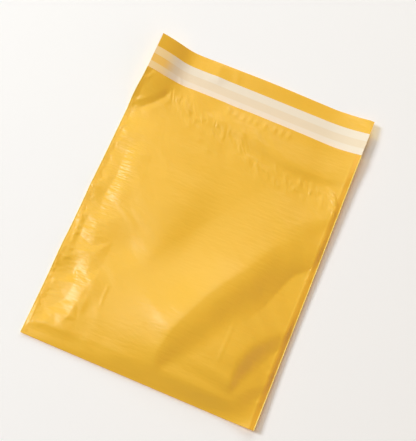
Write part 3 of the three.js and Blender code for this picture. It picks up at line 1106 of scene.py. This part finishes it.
# %% [markdown]
# Light
#
# The folds are drawn by one window on the left, fairly low and not too large, so that each flank that turns
# away from it goes dark. A wide sky panel from above the flap fills the rest, a weak panel overhead adds
# sheen to the level film, and a warm reflector on the right lifts the dark flanks. One round lamp would
# give hard white spots on the film, so all four are flat panels. The room itself gives only a little light.
# Where the camera looks past the table, or the film mirrors what stands round it, a pale wall shows.

# %% Lamps
LAMPS = {
    "window": dict(direction=(-0.766, -0.02, 0.643), distance=5.0, size=(1.3, 1.4), power=166),
    "overhead panel": dict(direction=(-0.35, 0.1, 0.93), distance=3.0, size=(1.5, 1.5), power=11),
    "sky panel": dict(
        direction=(-0.2, 0.78, 0.6), distance=5.0, size=(3.5, 3.5), power=98, colour=(1.0, 0.98, 0.93)),
    "warm reflector": dict(
        direction=(0.95, -0.2, 0.35), distance=4.0, size=(4.0, 3.0), power=46, colour=(1.0, 0.62, 0.36)),
}


def soft_box(name, direction, distance, size, power, colour=(1.0, 1.0, 1.0)):
    """A flat lamp of a width and a height that looks at the bag from a direction."""
    lamp = bpy.data.lights.new(name, "AREA")
    lamp.shape = "RECTANGLE"
    lamp.size, lamp.size_y = size
    lamp.energy = power
    lamp.color = colour
    holder = bpy.data.objects.new(name, lamp)
    towards = Vector(direction).normalized()
    holder.location = towards * distance
    holder.rotation_euler = towards.to_track_quat("Z", "Y").to_euler()
    bpy.context.collection.objects.link(holder)


for lamp_name, lamp_settings in LAMPS.items():
    soft_box(lamp_name, **lamp_settings)
print("lamps:", list(LAMPS))

# %% The room and its wall
ROOM_COLOUR, ROOM_STRENGTH = (1.0, 0.88, 0.8, 1.0), 0.13
WALL_COLOUR, WALL_STRENGTH = "#f4f2ef", 1.0

world = bpy.data.worlds.new("studio")
world.use_nodes = True
room_tree = world.node_tree
room_tree.nodes.clear()
room = node(room_tree, "ShaderNodeBackground", {"Color": ROOM_COLOUR, "Strength": ROOM_STRENGTH})
wall = node(room_tree, "ShaderNodeBackground", {"Color": linear(WALL_COLOUR), "Strength": WALL_STRENGTH})
rays = node(room_tree, "ShaderNodeLightPath").outputs
sees_wall = rays["Is Camera Ray"]
for kind_of_ray in ("Is Glossy Ray", "Is Transmission Ray"):
    either_ray = {0: sees_wall, 1: rays[kind_of_ray]}
    sees_wall = node(room_tree, "ShaderNodeMath", {"operation": "MAXIMUM"}, either_ray).outputs["Value"]
room_or_wall = {SHADER_A: room.outputs[0], SHADER_B: wall.outputs[0]}
around = node(room_tree, "ShaderNodeMixShader", None, room_or_wall, Fac=sees_wall)
node(room_tree, "ShaderNodeOutputWorld", Surface=around.outputs[0])
bpy.context.scene.world = world
print("room light:", ROOM_STRENGTH, "wall:", WALL_COLOUR)

# %% [markdown]
# Camera
#
# The bag is seen from high above its bottom end, turned a little and with the picture tilted, from about a
# metre away. The three angles, the distance and the point looked at were found from the corners of the bag.
# A Track To constraint would aim the camera too, but it can't tilt the picture, so the camera's own axes
# are worked out and set.

# %% Aim the camera
AZIMUTH, ELEVATION, ROLL = np.radians((13.1, 73.75, 9.85))
FOCAL_PX, LONG_SIDE_PX, SENSOR_MM = 1000.0, 441.0, 36.0
DISTANCE = 1035.0
TARGET = np.array([1.7, 5.9, 0.0])

flat = np.cos(ELEVATION)
backwards = np.array([np.sin(AZIMUTH) * flat, -np.cos(AZIMUTH) * flat, np.sin(ELEVATION)])
level = np.array([np.cos(AZIMUTH), np.sin(AZIMUTH), 0.0])
upright = np.cross(backwards, level)
right = np.cos(ROLL) * level + np.sin(ROLL) * upright
up = np.cos(ROLL) * upright - np.sin(ROLL) * level
camera_data = bpy.data.cameras.new("camera")
camera_data.sensor_width = SENSOR_MM
camera_data.lens = FOCAL_PX / LONG_SIDE_PX * SENSOR_MM
camera = bpy.data.objects.new("camera", camera_data)
bpy.context.collection.objects.link(camera)
axes = Matrix((right, up, backwards)).transposed().to_4x4()
camera.matrix_world = Matrix.Translation(Vector((TARGET + backwards * DISTANCE) * MM)) @ axes
bpy.context.scene.camera = camera
bpy.context.scene.view_settings.view_transform = "Standard"
print("focal length:", round(camera_data.lens, 1), "mm")
